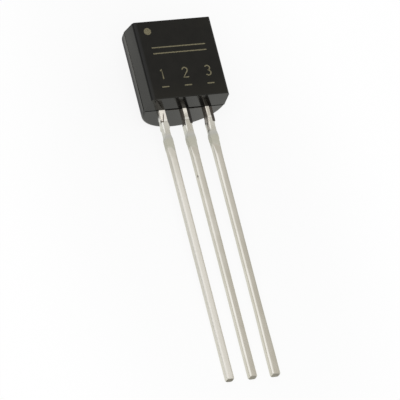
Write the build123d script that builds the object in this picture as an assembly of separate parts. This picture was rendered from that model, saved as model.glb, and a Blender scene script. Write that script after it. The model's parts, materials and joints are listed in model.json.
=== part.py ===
from build123d import *
from math import asin, atan2, cos, degrees, hypot, radians, tan
import os

# A three-lead voltage regulator in a TO-92 style moulded package, in millimetres.
#
# It is modelled as its drawing shows it: x across the leads, y back from the marked face, z up from
# the seating face. y = 0 is the parting plane, where the front faces of the leads lie, and z = 0 is
# the seating face. At the end the finished device is laid on its round back and its lead tips, as
# it rests on a bench, with the marked face up.

# Moulded body
body_height = 4.68          # seating face to top, at the parting plane
back_radius = 2.28          # round back, about an axis in the parting plane
front_depth = 1.28          # parting plane to the flat marked face
front_draft = 4.0           # degrees by which the four sides of the front half lean in
back_draft = 0.5            # degrees by which the two ends of the back half lean in
parting_step = 0.02         # the back half stands proud of the front half by this, all round
front_edge_round = 0.22     # the two long edges of the marked face
end_edge_round = 0.05       # the two short edges of the marked face
back_rim_round = 0.12       # where the round back meets the top and the seating face

# Resin flash
fin_thickness = 0.24        # along the flank of a lead
fin_cover = 0.055           # how far a fin reaches over the front of the neck
fin_film = 0.02             # the film of resin there
fin_root = 0.20             # depth of a fin's root in the body
fins = (
    # pitches from the centre lead, flank, length, tip width over root width, reach past the flank
    (0, -1, 0.95, 0.35, 0.00),
    (0, 1, 0.85, 0.90, 0.05),
    (1, -1, 1.30, 0.15, 0.00),
    (1, 1, 0.85, 0.90, 0.05),
)
web_height = 0.02           # thin web along the parting line, from lead to lead
web_thickness = 0.06
gate_width = 0.90           # stub of the mould's gate, on top
gate_thickness = 0.20
gate_height = 0.06

# Leads
lead_pitch = 1.27
lead_width = 0.41
lead_thickness = 0.38
lead_length = 15.30         # seating face to tip
neck_width = 0.33           # at the seating face
neck_length = 0.60
shoulder_length = 0.30      # from the neck out to the full width
shoulder_run = 0.12         # full width, down to the cut where the dam bar was trimmed off
cut_edge = 0.04
cut_length = 0.36
cut_ramp = 0.22             # from the cut out to the stub below it
stub_length = 0.24          # stub that the trimming left
stub_ramp = 0.05
dip_line = 2.20             # seating face to where the tin begins
dip_meniscus = 0.55         # the tin thickens over this length
tin_side = 0.005            # thickness of the tin on the flanks
tin_face = 0.012            # thickness of the tin on the front and back
tin_crown = 0.022           # and how much more it crowns in the middle
tin_corner = 0.14           # radius of its corners
stamped_crown = 0.001       # the stamped faces are all but flat
stamped_corner = 0.03       # radius of the stamped corners
bead_taper = 2.40           # the tin widens over this length
bead_length = 1.30          # to the bead at the tip
tip_chamfer = 0.06
lead_edges = {
    # depth of the cut, height of the stub and growth of the bead, on each flank
    "lead_output": (0.040, 0.003, 0.002),
    "lead_ground": (0.004, 0.020, 0.008),
    "lead_input": (0.015, 0.020, 0.030),
}

# Inside the resin
buried_neck = 0.35          # height at which the shanks widen again
shank_width = 0.42
lock_radius = 0.07          # half-round notches that lock the shanks in the resin
lock_height = 0.90
post_width = 0.68           # bond post at the top of each outer lead
post_bottom = 2.15
post_height = 0.80
post_ramp = 0.20
pad_width = 1.26            # die pad at the top of the centre lead
pad_bottom = 1.70
pad_height = 1.72
pad_ramp = 0.30
pad_lock_radius = 0.10      # notches in the sides of the pad
die_width = 1.04
die_height = 1.12
die_thickness = 0.28
die_drop = 0.10             # how far the die sits above the pad's middle
attach_margin = 0.03        # fillet of adhesive round the die
attach_thickness = 0.025

# Bond wires
wire_diameter = 0.038
ball_diameter = 0.10
ball_height = 0.03
stitch_diameter = 0.13
stitch_height = 0.018
loop_rise = 0.16            # straight up from the ball
loop_bend = 0.03            # a short straight cuts off each corner of the loop, this far from it
bond_inset = 0.14           # die edge to the middle of a ball

die_middle = pad_bottom + pad_height / 2 + die_drop
die_front = attach_thickness + die_thickness


def symmetric_outline(half_profile):
    """A face in the front view, from (half width, height) points on its right side."""
    right = [(half_width, height) for half_width, height in half_profile]
    left = [(-half_width, height) for half_width, height in reversed(half_profile)]
    return Plane.XZ * make_face(Polyline(*right, *left, close=True))


def front_half():
    """Flat-faced half of the moulding: four drafted sides that narrow towards the marked face."""
    half_width = back_radius - parting_step
    narrowing = front_depth * tan(radians(front_draft))
    plan = make_face(
        Polyline(
            (-half_width, 0),
            (-half_width + narrowing, -front_depth),
            (half_width - narrowing, -front_depth),
            (half_width, 0),
            close=True,
        )
    )
    plan = fillet(plan.vertices().group_by(Axis.Y)[0], front_edge_round)
    bottom, top = parting_step, body_height - parting_step
    side = make_face(
        Polyline(
            (0, bottom),
            (-front_depth, bottom + narrowing),
            (-front_depth, top - narrowing),
            (0, top),
            close=True,
        )
    )
    side = fillet(side.vertices().group_by(Axis.X)[0], end_edge_round)
    return extrude(plan, body_height) & extrude(Plane.YZ * side, half_width, both=True)


def back_half():
    """Round half of the moulding: a half cylinder whose two ends are drafted."""
    narrowing = back_radius * tan(radians(back_draft))
    plan = Circle(back_radius) & Pos(0, back_radius) * Rectangle(2 * back_radius, 2 * back_radius)
    side = make_face(
        Polyline(
            (0, 0),
            (back_radius, narrowing),
            (back_radius, body_height - narrowing),
            (0, body_height),
            close=True,
        )
    )
    half = extrude(plan, body_height) & extrude(Plane.YZ * side, back_radius, both=True)
    return fillet(half.edges().filter_by(GeomType.ELLIPSE), back_rim_round)


def flash_fin(pitches, side, length, tip_share, reach):
    """Sliver of resin left on one flank of a neck. It tapers to tip_share of its root's width."""
    inner = neck_width / 2 - fin_cover
    outer = lead_width / 2 + reach
    tip = outer - (outer - inner) * tip_share
    outline = make_face(
        Polyline(
            (side * inner, fin_root),
            (side * outer, fin_root),
            (side * outer, -length),
            (side * tip, -length),
            (side * inner, -length / 2),
            close=True,
        )
    )
    fin = extrude(Plane.XZ * outline, -(fin_thickness + fin_film))
    return Pos(pitches * lead_pitch, -fin_film, 0) * fin


def moulding_outside():
    """The whole moulding as a filled solid, with its flash and the stub of its gate."""
    body = front_half() + back_half()
    for fin in fins:
        body += flash_fin(*fin)
    on_front = (Align.CENTER, Align.MIN, Align.MIN)
    web = Box(2 * lead_pitch, web_thickness, web_height + fin_root, align=on_front)
    gate = Box(gate_width, gate_thickness, gate_height + fin_root, align=on_front)
    body += Pos(0, 0, -web_height) * web
    body += Pos(0, 0, body_height - fin_root) * gate
    return body


def lead_section(width, thickness, crown, corner):
    """Cross-section of a lead: a rectangle with crowned sides and round corners, about its middle."""
    w, t = width / 2, thickness / 2
    sides = [
        ThreePointArc((-w, -t), (0, -t - crown), (w, -t)),
        ThreePointArc((w, -t), (w + crown / 2, 0), (w, t)),
        ThreePointArc((w, t), (0, t + crown), (-w, t)),
        ThreePointArc((-w, t), (-w - crown / 2, 0), (-w, -t)),
    ]
    section = make_face(sides)
    return fillet(section.vertices(), corner)


def tinned_length(bead):
    """The dipped length of a lead, from the dip line down to the bead at its tip."""
    middle = lead_thickness / 2
    bare = lead_section(lead_width, lead_thickness, stamped_crown, stamped_corner)
    tinned_width = lead_width + 2 * tin_side
    tinned_thickness = lead_thickness + 2 * tin_face
    coated = lead_section(tinned_width, tinned_thickness, tin_crown, tin_corner)
    beaded = lead_section(tinned_width + 2 * bead, tinned_thickness, tin_crown, tin_corner)
    full_coat = dip_line + dip_meniscus
    bead_top = lead_length - bead_length
    taper_top = bead_top - bead_taper
    meniscus = loft([Pos(0, middle, -dip_line) * bare, Pos(0, middle, -full_coat) * coated])
    run = extrude(Pos(0, middle, -full_coat) * coated, -(taper_top - full_coat))
    taper = loft([Pos(0, middle, -taper_top) * coated, Pos(0, middle, -bead_top) * beaded])
    tip = extrude(Pos(0, middle, -bead_top) * beaded, -bead_length)
    return meniscus + run + taper + chamfer(tip.faces().sort_by(Axis.Z)[0].edges(), tip_chamfer)


def lead(name, head_profile):
    """A lead about its own centre line: stamped strip with its head, and the tinned length."""
    cut, stub, bead = lead_edges[name]
    w, neck = lead_width / 2, neck_width / 2
    shoulder = neck_length + shoulder_length
    cut_top = shoulder + shoulder_run + cut_edge
    cut_bottom = cut_top + cut_length
    stub_top = cut_bottom + cut_ramp
    stub_bottom = stub_top + stub_length
    strip = symmetric_outline(
        [
            (w, -dip_line),
            (w, -stub_bottom - stub_ramp),
            (w + stub, -stub_bottom),
            (w + stub, -stub_top),
            (w - cut, -cut_bottom),
            (w - cut, -cut_top),
            (w, -cut_top + cut_edge),
            (w, -shoulder),
            (neck, -neck_length),
            (neck, buried_neck),
            (shank_width / 2, buried_neck + shoulder_length),
            *head_profile,
        ]
    )
    stamped = extrude(strip, -lead_thickness)
    for side in (-1, 1):
        stamped -= lock_notch(side * shank_width / 2, lock_height, lock_radius)
    return stamped + tinned_length(bead)


def lock_notch(x, height, radius):
    """Round cutter for a notch through the thickness of a lead."""
    return extrude(Plane.XZ * Pos(x, height) * Circle(radius), -lead_thickness)


def outer_lead(name):
    """Lead with a bond post at its head."""
    head = [
        (shank_width / 2, post_bottom - post_ramp),
        (post_width / 2, post_bottom),
        (post_width / 2, post_bottom + post_height),
    ]
    return lead(name, head)


def centre_lead(name):
    """Lead that widens into the pad that carries the die."""
    head = [
        (shank_width / 2, pad_bottom - pad_ramp),
        (pad_width / 2, pad_bottom),
        (pad_width / 2, pad_bottom + pad_height),
    ]
    blank = lead(name, head)
    for side in (-1, 1):
        blank -= lock_notch(side * pad_width / 2, pad_bottom + 2 * pad_lock_radius, pad_lock_radius)
    return blank


def on_pad(width, height, thickness, front_of_pad):
    """A block centred on the die's place, with its back that far ahead of the pad."""
    block = Box(width, thickness, height, align=(Align.CENTER, Align.MAX, Align.CENTER))
    return Pos(0, -front_of_pad, die_middle) * block


def corners_cut(points):
    """The points of a path with a short straight in place of each of its corners."""
    path = [points[0]]
    for before, corner, after in zip(points, points[1:], points[2:]):
        for neighbour in (before, after):
            path.append(corner + (neighbour - corner).normalized() * loop_bend)
    return path + [points[-1]]


def bond_wire(ball_at, stitch_at):
    """Ball on the die, loop, and stitch on the lead frame. Both places are (x, z)."""
    reach = Vector(stitch_at[0] - ball_at[0], 0, stitch_at[1] - ball_at[1])
    # the loop's own plane: its x runs from ball to stitch and its y forward from the lead frame
    loop_plane = Plane(
        origin=(ball_at[0], 0, ball_at[1]),
        x_dir=reach,
        z_dir=reach.cross(Vector(0, -1, 0)),
    )
    top = die_front + ball_height + loop_rise
    corners = [
        Vector(0, die_front + ball_height / 2),
        Vector(0, top),
        Vector(reach.length / 2, top),
        Vector(reach.length, stitch_height),
    ]
    path = loop_plane * Polyline(*corners_cut(corners))
    start = Plane(origin=path @ 0, z_dir=path % 0)
    wire = sweep(start * Circle(wire_diameter / 2), path=path, transition=Transition.RIGHT)
    ball = loop_plane * Pos(0, die_front) * frontward_disc(ball_diameter, ball_height)
    stitch = loop_plane * Pos(reach.length, 0) * frontward_disc(stitch_diameter, stitch_height)
    return wire + ball + stitch


def frontward_disc(diameter, height):
    """A disc that stands on the loop plane's x axis and rises along its y."""
    disc = Cylinder(diameter / 2, height, align=(Align.CENTER, Align.CENTER, Align.MIN))
    return Rot(X=-90) * disc


def rest_angle():
    """Tilt of the device on a bench, in degrees: the rim of the back and the lead tips touch down."""
    rim_middle_y = back_radius - back_rim_round
    rim_middle_z = rim_middle_y * tan(radians(back_draft)) + back_rim_round / cos(radians(back_draft))
    tip_y = lead_thickness + tin_face + tin_crown
    tip_z = tip_chamfer - lead_length
    rise, run = rim_middle_y - tip_y, rim_middle_z - tip_z
    return degrees(atan2(rise, run) + asin(back_rim_round / hypot(rise, run)))


def laid_down(nodes):
    """Turns every node from the drawing's axes to the rest pose, with the box's base centre at 0."""
    turned = {name: Rot(X=-90 + rest_angle()) * solid for name, solid in nodes.items()}
    box = Compound(list(turned.values())).bounding_box()
    to_base = Pos(-box.center().X, -box.center().Y, -box.min.Z)
    return {name: to_base * solid for name, solid in turned.items()}


outputs = {}
outputs["lead_output"] = Pos(-lead_pitch, 0, 0) * outer_lead("lead_output")
outputs["lead_ground"] = centre_lead("lead_ground")
outputs["lead_input"] = Pos(lead_pitch, 0, 0) * outer_lead("lead_input")
outputs["die_attach"] = on_pad(
    die_width + 2 * attach_margin, die_height + 2 * attach_margin, attach_thickness, 0
)
outputs["silicon_die"] = on_pad(die_width, die_height, die_thickness, attach_thickness)

ball_x = die_width / 2 - bond_inset
post_middle = post_bottom + post_height / 2
ground_ball = (ball_x / 2, die_middle - die_height / 2 + bond_inset)
ground_stitch = (ball_x / 2, die_middle - die_height / 2 - attach_margin - stitch_diameter)
outputs["bond_wire_output"] = bond_wire((-ball_x, die_middle), (-lead_pitch, post_middle))
outputs["bond_wire_ground"] = bond_wire(ground_ball, ground_stitch)
outputs["bond_wire_input"] = bond_wire((ball_x, die_middle), (lead_pitch, post_middle))

body = moulding_outside()
for inner in outputs.values():
    body -= inner
outputs["moulded_body"] = body

os.makedirs("parts", exist_ok=True)
for name, solid in laid_down(outputs).items():
    export_step(solid, f"parts/{name}.step")
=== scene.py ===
import json
from math import cos, dist, radians, sin
from types import SimpleNamespace

import bpy
from mathutils import Matrix, Vector

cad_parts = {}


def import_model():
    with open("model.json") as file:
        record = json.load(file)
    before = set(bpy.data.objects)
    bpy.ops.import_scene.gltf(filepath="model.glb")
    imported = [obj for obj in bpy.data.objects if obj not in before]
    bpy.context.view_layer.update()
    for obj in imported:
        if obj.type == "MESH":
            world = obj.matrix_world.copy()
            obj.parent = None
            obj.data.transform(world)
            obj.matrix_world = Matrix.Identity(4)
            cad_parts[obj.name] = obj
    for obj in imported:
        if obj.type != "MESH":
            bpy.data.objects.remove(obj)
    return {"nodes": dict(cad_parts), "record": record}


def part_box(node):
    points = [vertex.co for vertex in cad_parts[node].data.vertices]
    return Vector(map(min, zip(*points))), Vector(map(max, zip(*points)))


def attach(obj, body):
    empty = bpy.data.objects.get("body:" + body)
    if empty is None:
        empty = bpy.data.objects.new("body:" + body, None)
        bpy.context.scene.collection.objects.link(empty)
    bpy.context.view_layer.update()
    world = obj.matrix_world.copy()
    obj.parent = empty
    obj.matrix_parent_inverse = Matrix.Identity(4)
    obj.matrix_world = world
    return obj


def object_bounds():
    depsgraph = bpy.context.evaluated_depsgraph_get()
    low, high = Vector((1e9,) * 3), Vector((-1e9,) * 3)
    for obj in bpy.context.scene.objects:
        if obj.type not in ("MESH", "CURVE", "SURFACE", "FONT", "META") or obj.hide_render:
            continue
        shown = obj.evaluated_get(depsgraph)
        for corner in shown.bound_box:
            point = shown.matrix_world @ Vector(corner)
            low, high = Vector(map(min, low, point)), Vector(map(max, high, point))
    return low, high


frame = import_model()
cad_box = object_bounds()

MM = 0.001


# ---------------------------------------------------------------- where things are

mounts = {mount["name"]: mount for mount in frame["record"]["mounts"]}
across_way = Vector((1, 0, 0))                              # from the output lead to the input lead
lead_way = Vector(mounts["lead_row"]["axis"])               # from the seating face to the lead tips
face_way = Vector(mounts["marked_face"]["axis"])            # out of the marked face
face_middle = Vector(mounts["marked_face"]["pos_m"])
seating_point = Vector(mounts["lead_row"]["pos_m"])         # middle of the centre lead, at the seating face
middle = sum((Vector(corner) for corner in cad_box), Vector()) / 2

leads = ("lead_output", "lead_ground", "lead_input")
wires = ("bond_wire_output", "bond_wire_ground", "bond_wire_input")

# in millimetres
face_ahead = (face_middle - seating_point).dot(face_way) / MM    # the marked face, from the leads' middles
lead_middles = [(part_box(lead)[0].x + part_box(lead)[1].x) / 2 / MM for lead in leads]
lead_pitch = lead_middles[1] - lead_middles[0]
lead_corners = [vertex.co - seating_point for vertex in frame["nodes"]["lead_ground"].data.vertices]
lead_length = max(corner.dot(lead_way) for corner in lead_corners) / MM


# ---------------------------------------------------------------- shader maths

class Value:
    """A socket of a shader tree. Sums and products on it add Math nodes to its tree."""

    def __init__(self, tree, socket):
        self.tree, self.socket = tree, socket

    def math(self, operation, *others):
        return self.tree.make("ShaderNodeMath", {"operation": operation}, dict(enumerate((self, *others))))

    def __add__(self, other):
        return self.math("ADD", other)

    def __sub__(self, other):
        return self.math("SUBTRACT", other)

    def __rsub__(self, other):
        return (self * -1) + other

    def __mul__(self, other):
        return self.math("MULTIPLY", other)

    def __truediv__(self, other):
        return self.math("DIVIDE", other)

    __radd__ = __add__
    __rmul__ = __mul__

    def squared(self):
        return self * self

    def step(self, low, high):
        """0 below low, 1 above high, smooth between."""
        return self.tree.make(
            "ShaderNodeMapRange",
            {"interpolation_type": "SMOOTHSTEP"},
            {"Value": self, "From Min": low, "From Max": high},
        )

    def fade(self, low, high):
        """1 below low, 0 above high, smooth between."""
        return 1 - self.step(low, high)

    def band(self, rise, full, last, end):
        """0 below rise, 1 from full to last, 0 above end, smooth between."""
        return self.step(rise, full) * self.fade(last, end)


class Tree:
    """The node tree of a material or of the world."""

    def __init__(self, owner):
        owner.use_nodes = True
        self.nodes, self.links = owner.node_tree.nodes, owner.node_tree.links
        self.nodes.clear()

    def make(self, kind, settings=None, inputs=None, output=0):
        """Adds a node, with its settings and then its sockets, and returns one of its outputs."""
        node = self.nodes.new(kind)
        for name, setting in (settings or {}).items():
            setattr(node, name, setting)
        for name, value in (inputs or {}).items():
            if isinstance(value, Value):
                self.links.new(value.socket, node.inputs[name])
            else:
                node.inputs[name].default_value = value
        return Value(self, node.outputs[output]) if len(node.outputs) else None

    def dot_product(self, first, second):
        settings = {"operation": "DOT_PRODUCT"}
        return self.make("ShaderNodeVectorMath", settings, {0: first, 1: second}, "Value")

    def distance_along(self, way, start=Vector((0, 0, 0))):
        """Distance from start along a direction, in millimetres."""
        place = self.make("ShaderNodeTexCoord", output="Object")
        offset = self.make("ShaderNodeVectorMath", {"operation": "SUBTRACT"}, {0: place, 1: start})
        return self.dot_product(offset, way) / MM

    def device_place(self):
        """Across the leads, down from the seating face, and ahead of the leads' middles, in millimetres."""
        return (
            self.distance_along(across_way),
            self.distance_along(lead_way, seating_point),
            self.distance_along(face_way, seating_point),
        )

    def facing(self, way):
        """1 where the surface faces along a direction, falling to 0 at a right angle to it."""
        return self.dot_product(self.make("ShaderNodeNewGeometry", output="True Normal"), way)

    def noise(self, x, y, z, detail=2.0):
        """Noise from 0 to 1 at a point given as three numbers or values, one wave to each unit."""
        point = self.make("ShaderNodeCombineXYZ", inputs={"X": x, "Y": y, "Z": z})
        return self.make("ShaderNodeTexNoise", inputs={"Vector": point, "Scale": 1.0, "Detail": detail})

    def speckle(self, waves):
        """Noise with the same number of waves to the millimetre in every direction."""
        return self.noise(*(self.distance_along(way) * waves for way in (across_way, lead_way, face_way)))

    def mix(self, factor, first, second):
        """Colour from first to second by factor."""
        return self.make("ShaderNodeMix", {"data_type": "RGBA"}, {"Factor": factor, 6: first, 7: second}, 2)

    def bump(self, strength, height):
        """The normal of a surface with a relief whose height is in millimetres."""
        return self.make("ShaderNodeBump", inputs={"Strength": strength, "Distance": MM, "Height": height})

    def ray(self, kind):
        """1 for a ray of a kind, such as Camera or Glossy, and 0 for the others."""
        return self.make("ShaderNodeLightPath", output=f"Is {kind} Ray")

    def glow(self, kind, shade, strength=1.0):
        """An Emission or Background shader."""
        return self.make(f"ShaderNode{kind}", inputs={"Color": shade, "Strength": strength})

    def mix_shaders(self, factor, first, second):
        return self.make("ShaderNodeMixShader", inputs={0: factor, 1: first, 2: second})


def colour(red, green, blue):
    return (red, green, blue, 1.0)


def grey(level):
    return colour(level, level, level)


def material(name):
    made = bpy.data.materials.new(name)
    return made, Tree(made)


def surface(tree, **sockets):
    """A Principled surface. Keyword names are socket names with underscores for spaces."""
    inputs = {name.replace("_", " "): value for name, value in sockets.items()}
    shader = tree.make("ShaderNodeBsdfPrincipled", inputs=inputs)
    tree.make("ShaderNodeOutputMaterial", inputs={"Surface": shader})


# ---------------------------------------------------------------- finish of the moulding

def satin_shade(tree, x, down, mottled):
    """Colour of the marked face, paler at its foot and its right corners."""
    shade = tree.mix(mottled, colour(0.0020, 0.0019, 0.0013), colour(0.0040, 0.0038, 0.0028))
    foot = down.step(-1.2, -0.1)
    corners = x.step(0.8, 1.8) * (1 - down.band(-4.3, -3.6, -1.5, -0.7))
    return tree.mix(foot * 0.6 + corners * 0.35, shade, colour(0.0085, 0.0076, 0.0048))


def side_shade(tree, down, ahead, mottled):
    """Colour of the sides and the back, pale on the step along the parting line, but not low down."""
    shade = tree.mix(mottled, colour(0.0015, 0.0015, 0.0012), colour(0.0035, 0.0035, 0.0029))
    parting_step = tree.facing(face_way).step(0.9, 0.95) * ahead.fade(0.25, 0.30)
    return tree.mix(parting_step * down.fade(-2.4, -0.9), shade, colour(0.16, 0.155, 0.14))


def flash_shade(tree, x, down, grain):
    """Colour of the flash: brownish where light gets into it, and pale where the metal shows through."""
    shade = tree.mix(grain, colour(0.060, 0.051, 0.042), colour(0.090, 0.078, 0.065))
    right_of_ground = x.band(-0.02, 0.02, 0.5, 0.6)
    shade = tree.mix(right_of_ground, shade, colour(0.030, 0.027, 0.024))
    left_of_input = x.band(0.9, 1.0, 1.25, 1.30)
    shade = tree.mix(left_of_input * down.step(0.55, 1.05), shade, colour(0.04, 0.035, 0.03))
    outer_side = tree.facing(-across_way).step(0.5, 0.7)
    thin = (x + down * 0.08).step(1.15, 1.18).math("MAXIMUM", outer_side)
    return tree.mix(left_of_input * thin * down.step(0.50, 0.75), shade, colour(0.55, 0.51, 0.45))


def moulding_resin():
    """Black moulding compound: satin on the marked face, glossier on the sides and back, dull flash."""
    made, tree = material("moulding_resin")
    x, down, ahead = tree.device_place()
    mottle = tree.noise(x * 2.2, down * 2.2, ahead * 2.2, detail=3.0)
    mottled = mottle.step(0.3, 0.7)
    grain = tree.noise(x * 45, down * 45, ahead * 45, detail=1.0)
    marked = ahead.step(face_ahead - 0.07, face_ahead - 0.03)
    flash = down.step(0.0, 0.03)
    shade = tree.mix(marked, side_shade(tree, down, ahead, mottled), satin_shade(tree, x, down, mottled))
    shade = tree.mix(flash, shade, flash_shade(tree, x, down, grain))
    rough = 0.12 + marked * 0.2 + flash * 0.38 + grain * 0.03
    normal = tree.bump(0.25, mottle * 0.0012 + grain * 0.0001)
    surface(tree, Base_Color=shade, Roughness=rough, Normal=normal, IOR=1.4)
    return made


# ---------------------------------------------------------------- finish of the leads

def tin_mask(tree, spot):
    """1 below the waved line where the dip begins, which arches over the middle of each lead."""
    wave = tree.noise(spot.x * 1.6, 0.0, spot.ahead * 1.6, detail=1.0)
    arch = (spot.across + 0.08).squared() * 2.5
    return (spot.down - arch + (wave - 0.5) * 0.25).step(2.04, 2.24)


def lead_spot(tree):
    """Where a point lies on its lead, in millimetres, with masks for leads, sides and stretches."""
    x, down, ahead = tree.device_place()
    on_output = x.fade(-0.52 * lead_pitch, -0.48 * lead_pitch)
    on_input = x.step(0.48 * lead_pitch, 0.52 * lead_pitch)
    spot = SimpleNamespace(
        x=x,
        across=(x + 1.5 * lead_pitch).math("FLOORED_MODULO", lead_pitch) - lead_pitch / 2,
        down=down,
        ahead=ahead,
        on_output=on_output,
        on_ground=1 - on_output - on_input,
        on_input=on_input,
        front=tree.facing(face_way).step(0.5, 0.7),
        flank=tree.facing(-across_way).step(0.5, 0.7),
    )
    spot.leaned = down.fade(0.45, 0.65) * spot.front
    spot.tinned = tin_mask(tree, spot)
    spot.bare = down.step(1.20, 1.65) * (1 - spot.tinned)
    return spot


def neck_highlight_and_shade(spot):
    """Painted highlights on the necks, pale cream in place of a bright lamp's reflection, and painted shade
    along their lip on the output lead.
    """
    to_right = spot.across + spot.down * 0.25
    below = spot.down - spot.across * 0.1
    raised = spot.ahead.step(0.03, 0.05)
    # the pale patch on the output lead's neck: a painted highlight
    painted_highlight = to_right.fade(0.045, 0.06) * below.fade(0.60, 0.62) * raised
    lip = to_right.fade(0.10, 0.115) * below.fade(0.67, 0.69) * spot.down.step(0.1, 0.3)
    # painted shade along the right and lower lip of that patch
    painted_lip_shade = spot.on_output * lip * (1 - painted_highlight) * raised
    # painted highlights on the fronts of the ground and input necks
    ground_highlight = spot.down.fade(0.12, 0.40)
    input_highlight = spot.across.fade(-0.10, -0.02) * spot.down.fade(0.85, 1.25)
    on_front = (spot.on_ground * ground_highlight + spot.on_input * input_highlight) * spot.front
    return spot.on_output * painted_highlight + on_front, painted_lip_shade


def pit_mask(spot):
    """A pit in the tin, on the left flank of the ground lead."""
    pit_down, pit_ahead = 3.88, 0.13
    off_pit = (spot.down - pit_down).squared() * 0.5 + (spot.ahead - pit_ahead).squared()
    return spot.on_ground * spot.flank * off_pit.fade(0.0005, 0.004)


def metal_shade(tree, spot, cloud):
    """Colour of the clean metal: the necks, the bare stretch below them, and the tin."""
    tin = tree.mix(cloud.step(0.35, 0.65), colour(0.83, 0.803, 0.735), colour(0.885, 0.86, 0.80))
    # paler tin on the output lead: painted sheen for the broad soft light band on this lead
    tin = tree.mix(spot.on_output * spot.down.step(2.2, 5.5), tin, colour(0.945, 0.92, 0.865))
    # the leaned tops of the necks are painted darker, as painted shade against the bright light they
    # mirror, and the output lead's neck less so
    neck = tree.mix(spot.on_output, colour(0.53, 0.50, 0.44), colour(0.76, 0.72, 0.65))
    neck = tree.mix(spot.leaned, colour(0.84, 0.83, 0.78), neck)
    annealed = tree.mix(spot.down.step(1.35, 1.75), colour(0.62, 0.63, 0.62), colour(0.66, 0.65, 0.565))
    return tree.mix(spot.bare, tree.mix(spot.tinned, neck, tin), annealed)


def lead_relief(spot):
    """Height of the leads' relief, in millimetres.

    The press leaves the necks leaning back, with their left edges rolled, and rounds the left flank of
    the output lead's neck. Lower down that lead is twisted a little to its left.
    """
    lean = (0.6 - spot.down) * 0.34 * spot.leaned
    necks = spot.down.fade(0.0, 1.45) * (1 - spot.on_ground * 0.6) * 0.10
    roll = (spot.across - spot.on_input * 0.045).fade(-0.195, -0.10) * spot.down.band(0.3, 0.6, 1.0, 1.45)
    roll_depth = 0.048 - spot.on_ground * 0.013
    twist = spot.across * spot.on_output * spot.tinned * (0.11 - spot.down.step(8, 14) * 0.05)
    rounded = (0.03 - spot.ahead) * spot.on_output * spot.down.fade(0.50, 0.60) * 0.9
    return (lean + necks - roll * roll_depth + twist) * spot.front + rounded * spot.flank


def tinned_copper():
    """Stamped leads: necks with painted highlights, a bare matt stretch, then hot-dipped tin down to the
    sheared tips.
    """
    made, tree = material("tinned_copper")
    spot = lead_spot(tree)
    sheared = spot.down.step(lead_length - 0.035, lead_length - 0.015)
    painted_highlight, painted_lip_shade = neck_highlight_and_shade(spot)
    # film of resin down the left flank of the input lead, out of its fin
    film = spot.on_input * spot.flank * (spot.ahead + spot.down * 0.25).step(0.22, 0.28)
    film = film * spot.down.fade(1.25, 1.50)
    streak = tree.noise(spot.x * 14, spot.down * 0.6, spot.ahead * 14)
    cloud = tree.noise(spot.x * 1.5, spot.down * 0.9, spot.ahead * 1.5)

    shade = metal_shade(tree, spot, cloud)
    # pale cream painted highlights on the necks, then painted shade along their lip on the output lead
    shade = tree.mix(painted_highlight, shade, colour(0.97, 0.92, 0.82))
    shade = tree.mix(painted_lip_shade, shade, colour(0.10, 0.075, 0.055))
    shade = tree.mix(sheared, shade, colour(0.42, 0.40, 0.35))
    shade = tree.mix(film, shade, colour(0.030, 0.026, 0.022))
    shade = tree.mix(pit_mask(spot), shade, colour(0.26, 0.235, 0.20))
    metal = 1 - spot.bare * 0.35 - film - painted_highlight * 0.5

    # the tin is softest on the output lead, and brightens towards the tips of the other two
    tin_rough = 0.10 - spot.down.step(6.5, 10.5) * (1 - spot.on_output) * 0.08 + spot.on_output * 0.20
    tin_rough = tin_rough + spot.on_ground * spot.down.fade(8, 11) * 0.08
    rough = 0.19 + spot.tinned * tin_rough + spot.bare * 0.25
    rough = rough + (painted_highlight + film) * 0.12 + sheared * 0.3 + streak * 0.08
    normal = tree.bump(1.0, streak * 0.0015 + cloud * 0.008 + lead_relief(spot))
    surface(tree, Base_Color=shade, Metallic=metal, Roughness=rough, Normal=normal)
    return made


# ---------------------------------------------------------------- finishes inside the resin

def silver_adhesive():
    made, tree = material("silver_adhesive")
    flake = tree.speckle(30)
    shade = tree.mix(flake, colour(0.42, 0.42, 0.40), colour(0.62, 0.62, 0.60))
    surface(tree, Base_Color=shade, Metallic=0.6, Roughness=0.45 + flake * 0.2)
    return made


def silicon():
    made, tree = material("silicon")
    cells = tree.speckle(9)
    shade = tree.mix(cells, colour(0.10, 0.12, 0.16), colour(0.26, 0.24, 0.22))
    surface(tree, Base_Color=shade, Metallic=0.5, Roughness=0.12 + cells * 0.1)
    return made


def gold_wire():
    made, tree = material("gold_wire")
    drawn = tree.speckle(25)
    shade = tree.mix(drawn, colour(0.88, 0.62, 0.25), colour(0.98, 0.76, 0.38))
    surface(tree, Base_Color=shade, Metallic=1.0, Roughness=0.18 + drawn * 0.1)
    return made


def dress(nodes, finish):
    """Gives CAD nodes a finish."""
    for node in nodes:
        for slot in frame["nodes"][node].material_slots:
            slot.material = finish


# ---------------------------------------------------------------- laser marks

def laser_mark():
    """Resin that the laser has foamed: pale, dull and broken along the stroke."""
    made, tree = material("laser_mark")
    x, down, _ = tree.device_place()
    fleck = tree.noise(x * 22, down * 22, 0.0)
    shade = tree.mix(fleck.step(0.3, 0.7), colour(0.13, 0.115, 0.065), colour(0.26, 0.235, 0.15))
    surface(tree, Base_Color=shade, Roughness=0.75 + fleck * 0.15)
    return made


def bow(x, z, radius, start, end, steps=14):
    """Points on an arc about (x, z), angles in degrees anticlockwise from the right."""
    angles = [radians(start + (end - start) * i / steps) for i in range(steps + 1)]
    return [(x + radius * cos(angle), z + radius * sin(angle)) for angle in angles]


def numeral_one(x, z, height):
    return [[(x - 0.16 * height, z + 0.32 * height), (x, z + 0.5 * height), (x, z - 0.5 * height)]]


def numeral_two(x, z, height):
    top = bow(x, z + 0.25 * height, 0.25 * height, 170, -40)
    return [top + [(x - 0.26 * height, z - 0.5 * height), (x + 0.27 * height, z - 0.5 * height)]]


def numeral_three(x, z, height):
    upper = bow(x, z + 0.26 * height, 0.24 * height, 150, -90)
    lower = bow(x, z - 0.24 * height, 0.26 * height, 90, -150)
    return [upper + lower]


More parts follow.
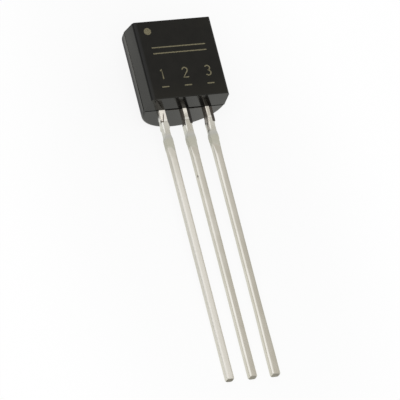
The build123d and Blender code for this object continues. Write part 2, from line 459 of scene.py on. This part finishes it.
def dot(x, z, radius, stroke):
    """A filled dot, as the laser hatches it: rings inside each other."""
    rings = max(1, round(radius / stroke))
    return [bow(x, z, radius * (ring + 0.5) / rings, 0, 360, 28) for ring in range(rings)]


def rule(x, z, length):
    return [(x - length / 2, z), (x + length / 2, z)]


def stroke_curve(paths):
    """A curve object of strokes, flat in its own plane. A path that ends where it starts is a ring."""
    curve = bpy.data.curves.new("laser_marks", "CURVE")
    curve.dimensions = "3D"
    for path in paths:
        ring = dist(path[0], path[-1]) < 1e-6
        path = path[:-1] if ring else path
        spline = curve.splines.new("POLY")
        spline.use_cyclic_u = ring
        spline.points.add(len(path) - 1)
        for point, (x, z) in zip(spline.points, path):
            point.co = (x * MM, z * MM, 0, 1)
    piece = bpy.data.objects.new("laser_marks", curve)
    bpy.context.collection.objects.link(piece)
    return piece


def stroke_tree():
    """Geometry nodes: a flat ribbon along every stroke, laid on the marked face."""
    group = bpy.data.node_groups.new("laser_strokes", "GeometryNodeTree")
    for name, kind in (
        ("Strokes", "NodeSocketGeometry"),
        ("Stroke Width", "NodeSocketFloat"),
        ("Stroke Height", "NodeSocketFloat"),
        ("Place", "NodeSocketVector"),
        ("Turn", "NodeSocketRotation"),
        ("Finish", "NodeSocketMaterial"),
    ):
        group.interface.new_socket(name, in_out="INPUT", socket_type=kind)
    group.interface.new_socket("Geometry", in_out="OUTPUT", socket_type="NodeSocketGeometry")
    given = group.nodes.new("NodeGroupInput").outputs
    upright = group.nodes.new("GeometryNodeSetCurveNormal")
    upright.mode = "Z_UP"
    ribbon = group.nodes.new("GeometryNodeCurvePrimitiveQuadrilateral")
    sweep = group.nodes.new("GeometryNodeCurveToMesh")
    sweep.inputs["Fill Caps"].default_value = True
    lay = group.nodes.new("GeometryNodeTransform")
    realize = group.nodes.new("GeometryNodeRealizeInstances")
    paint = group.nodes.new("GeometryNodeSetMaterial")
    result = group.nodes.new("NodeGroupOutput").inputs
    for start, end in (
        (given["Strokes"], upright.inputs["Curve"]),
        (upright.outputs["Curve"], sweep.inputs["Curve"]),
        (given["Stroke Width"], ribbon.inputs["Width"]),
        (given["Stroke Height"], ribbon.inputs["Height"]),
        (ribbon.outputs["Curve"], sweep.inputs["Profile Curve"]),
        (sweep.outputs["Mesh"], lay.inputs["Geometry"]),
        (given["Place"], lay.inputs["Translation"]),
        (given["Turn"], lay.inputs["Rotation"]),
        (lay.outputs["Geometry"], realize.inputs["Geometry"]),
        (realize.outputs["Geometry"], paint.inputs["Geometry"]),
        (given["Finish"], paint.inputs["Material"]),
        (paint.outputs["Geometry"], result["Geometry"]),
    ):
        group.links.new(start, end)
    return group


def baked(piece):
    """Turns an object with modifiers into one with the mesh that they make."""
    graph = bpy.context.evaluated_depsgraph_get()
    mesh = bpy.data.meshes.new_from_object(piece.evaluated_get(graph))
    name = piece.name
    bpy.data.objects.remove(piece)
    mesh.name = name
    plain = bpy.data.objects.new(name, mesh)
    bpy.context.collection.objects.link(plain)
    return plain


def mark_paths(stroke):
    """A dot for pin one, a double rule, and each lead's number over a tick.

    Columns and rows are in millimetres, across and up from the middle of the marked face.
    """
    number_height, number_row = 0.56, -0.85
    tick_length, tick_row = 0.4, -1.58
    rule_length, rule_rows = 3.0, (0.35, 0.69)
    dot_radius, dot_column, dot_row = 0.2, -1.5, 1.65
    paths = []
    for numeral, column in zip((numeral_one, numeral_two, numeral_three), lead_middles):
        paths += numeral(column, number_row, number_height)
        paths.append(rule(column, tick_row, tick_length))
    paths += dot(dot_column, dot_row, dot_radius, stroke)
    paths += [rule(0.0, row, rule_length) for row in rule_rows]
    return paths


def laser_marks():
    """The plain marks, as flat ribbons half sunk in the marked face."""
    stroke_width, stroke_height = 0.065, 0.012
    piece = stroke_curve(mark_paths(stroke_width))
    group = stroke_tree()
    modifier = piece.modifiers.new("strokes", "NODES")
    modifier.node_group = group
    given = {
        "Stroke Width": stroke_width * MM,
        "Stroke Height": stroke_height * MM,
        "Place": tuple(face_middle),
        "Turn": Matrix((across_way, -lead_way, face_way)).transposed().to_euler(),
        "Finish": laser_mark(),
    }
    for item in group.interface.items_tree:
        if item.in_out == "INPUT" and item.name in given:
            modifier[item.identifier] = given[item.name]
    made = baked(piece)
    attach(made, "root")


# ---------------------------------------------------------------- stage, light and camera

white = grey(1.0)
light_way = Vector((-0.65, 0.28, 0.70)).normalized()         # the soft light to the left
front_way = Vector((0.30, -0.45, 0.84)).normalized()         # the one beyond the lead tips


def table_shade(tree, x, y, away):
    """Reflected table tones: painted light in patches, painted shadow under the moulding, painted dimming
    far off.
    """
    shade = tree.mix(y.step(2.4, 3.6), colour(0.75, 0.75, 0.70), colour(0.69, 0.69, 0.65))
    # painted light on the table in patches
    painted_light = x.step(0.0, 2.8) * y.step(2.4, 3.6) + y.step(8.5, 12.5) * 0.5
    painted_light = painted_light + x.band(-3.4, -2.8, -1.2, -0.6) * y.step(5.0, 6.5)
    shade = tree.mix(painted_light, shade, colour(0.98, 0.98, 0.92))
    shade = tree.mix(x.step(-4.8, -4.3), colour(0.62, 0.62, 0.59), shade)
    # painted shadow under the moulding
    painted_shadow = x.math("ABSOLUTE").fade(2.2, 3.4) * y.step(5.6, 6.4)
    shade = tree.mix(painted_shadow, shade, grey(0.20))
    # painted dimming far from the device
    return tree.mix(away.step(6, 9), shade, colour(0.40, 0.40, 0.39))


def floor():
    """Plain pale floor. In a reflection it shows a table of painted light and shade that darkens away from
    the device.
    """
    half = 2.0
    mesh = bpy.data.meshes.new("floor")
    corners = [(-half, -half, 0), (half, -half, 0), (half, half, 0), (-half, half, 0)]
    mesh.from_pydata(corners, [], [(0, 1, 2, 3)])
    piece = bpy.data.objects.new("floor", mesh)
    bpy.context.collection.objects.link(piece)
    made, tree = material("floor")
    x, y = (tree.distance_along(Vector(way)) for way in ((1, 0, 0), (0, 1, 0)))
    away = (x.squared() + y.squared() * 0.16).math("SQRT")
    pale = tree.mix(tree.noise(x * 0.02, y * 0.02, 0.0), grey(0.90), grey(0.93))
    matt = tree.make("ShaderNodeBsdfDiffuse", inputs={"Color": pale})
    bright = tree.ray("Camera") * (0.88 + away.step(4, 12) * 0.11) + tree.ray("Transmission") * 0.90
    shown = tree.mix_shaders(bright, matt, tree.glow("Emission", white))
    table = tree.glow("Emission", table_shade(tree, x, y, away))
    shader = tree.mix_shaders(tree.ray("Glossy"), shown, table)
    tree.make("ShaderNodeOutputMaterial", inputs={"Surface": shader})
    mesh.materials.append(made)


def world():
    """White behind, and a studio for reflections: soft lights to the left and in front, dim elsewhere."""
    made = bpy.data.worlds.new("world")
    bpy.context.scene.world = made
    tree = Tree(made)
    way = tree.make("ShaderNodeTexCoord", output="Generated")
    height = tree.make("ShaderNodeSeparateXYZ", inputs={0: way}, output="Z")
    studio = tree.mix(tree.dot_product(way, light_way).step(0.50, 0.95), colour(0.53, 0.51, 0.46), white)
    studio = tree.mix(tree.dot_product(way, front_way).step(0.80, 0.97), studio, white)
    studio = tree.mix(height.step(0.0, 0.35), colour(0.35, 0.35, 0.34), studio)
    behind = tree.ray("Camera").math("MAXIMUM", tree.ray("Transmission"))
    light = tree.glow("Background", white, strength=0.5)
    shown = tree.mix_shaders(behind, light, tree.glow("Background", white))
    shader = tree.mix_shaders(tree.ray("Glossy"), shown, tree.glow("Background", studio))
    tree.make("ShaderNodeOutputWorld", inputs={"Surface": shader})


def softbox(name, way, distance, size, power):
    """A square lamp that faces the middle of the device, in a direction given from there."""
    lamp = bpy.data.lights.new(name, "AREA")
    lamp.shape = "SQUARE"
    lamp.size, lamp.energy = size, power
    piece = bpy.data.objects.new(name, lamp)
    bpy.context.collection.objects.link(piece)
    way = Vector(way).normalized()
    piece.location = middle + way * distance
    piece.rotation_euler = way.to_track_quat("Z", "Y").to_euler()
    piece.visible_glossy = False


def camera():
    """Looks down on the marked face from beyond the output lead, turned so that the leads run down."""
    azimuth, elevation, roll = radians(-38.96), radians(53.60), radians(27.52)
    distance = 0.300
    aim = middle + Vector((-0.638, -0.288, 0)) * MM
    way = Vector((sin(azimuth) * cos(elevation), -cos(azimuth) * cos(elevation), sin(elevation)))
    data = bpy.data.cameras.new("camera")
    data.lens, data.sensor_width = 522.4, 36
    data.clip_start, data.clip_end = 0.01, 10
    piece = bpy.data.objects.new("camera", data)
    bpy.context.collection.objects.link(piece)
    turn = way.to_track_quat("Z", "Y").to_matrix() @ Matrix.Rotation(roll, 3, "Z")
    piece.matrix_world = Matrix.Translation(aim + way * distance) @ turn.to_4x4()
    bpy.context.scene.camera = piece


# ---------------------------------------------------------------- the whole scene

dress(["moulded_body"], moulding_resin())
dress(leads, tinned_copper())
dress(["die_attach"], silver_adhesive())
dress(["silicon_die"], silicon())
dress(wires, gold_wire())
laser_marks()

floor()
world()
softbox("soft_light", way=(-0.35, -0.35, 0.87), distance=0.09, size=0.05, power=0.036)
camera()

bpy.context.scene.view_settings.view_transform = "Standard"
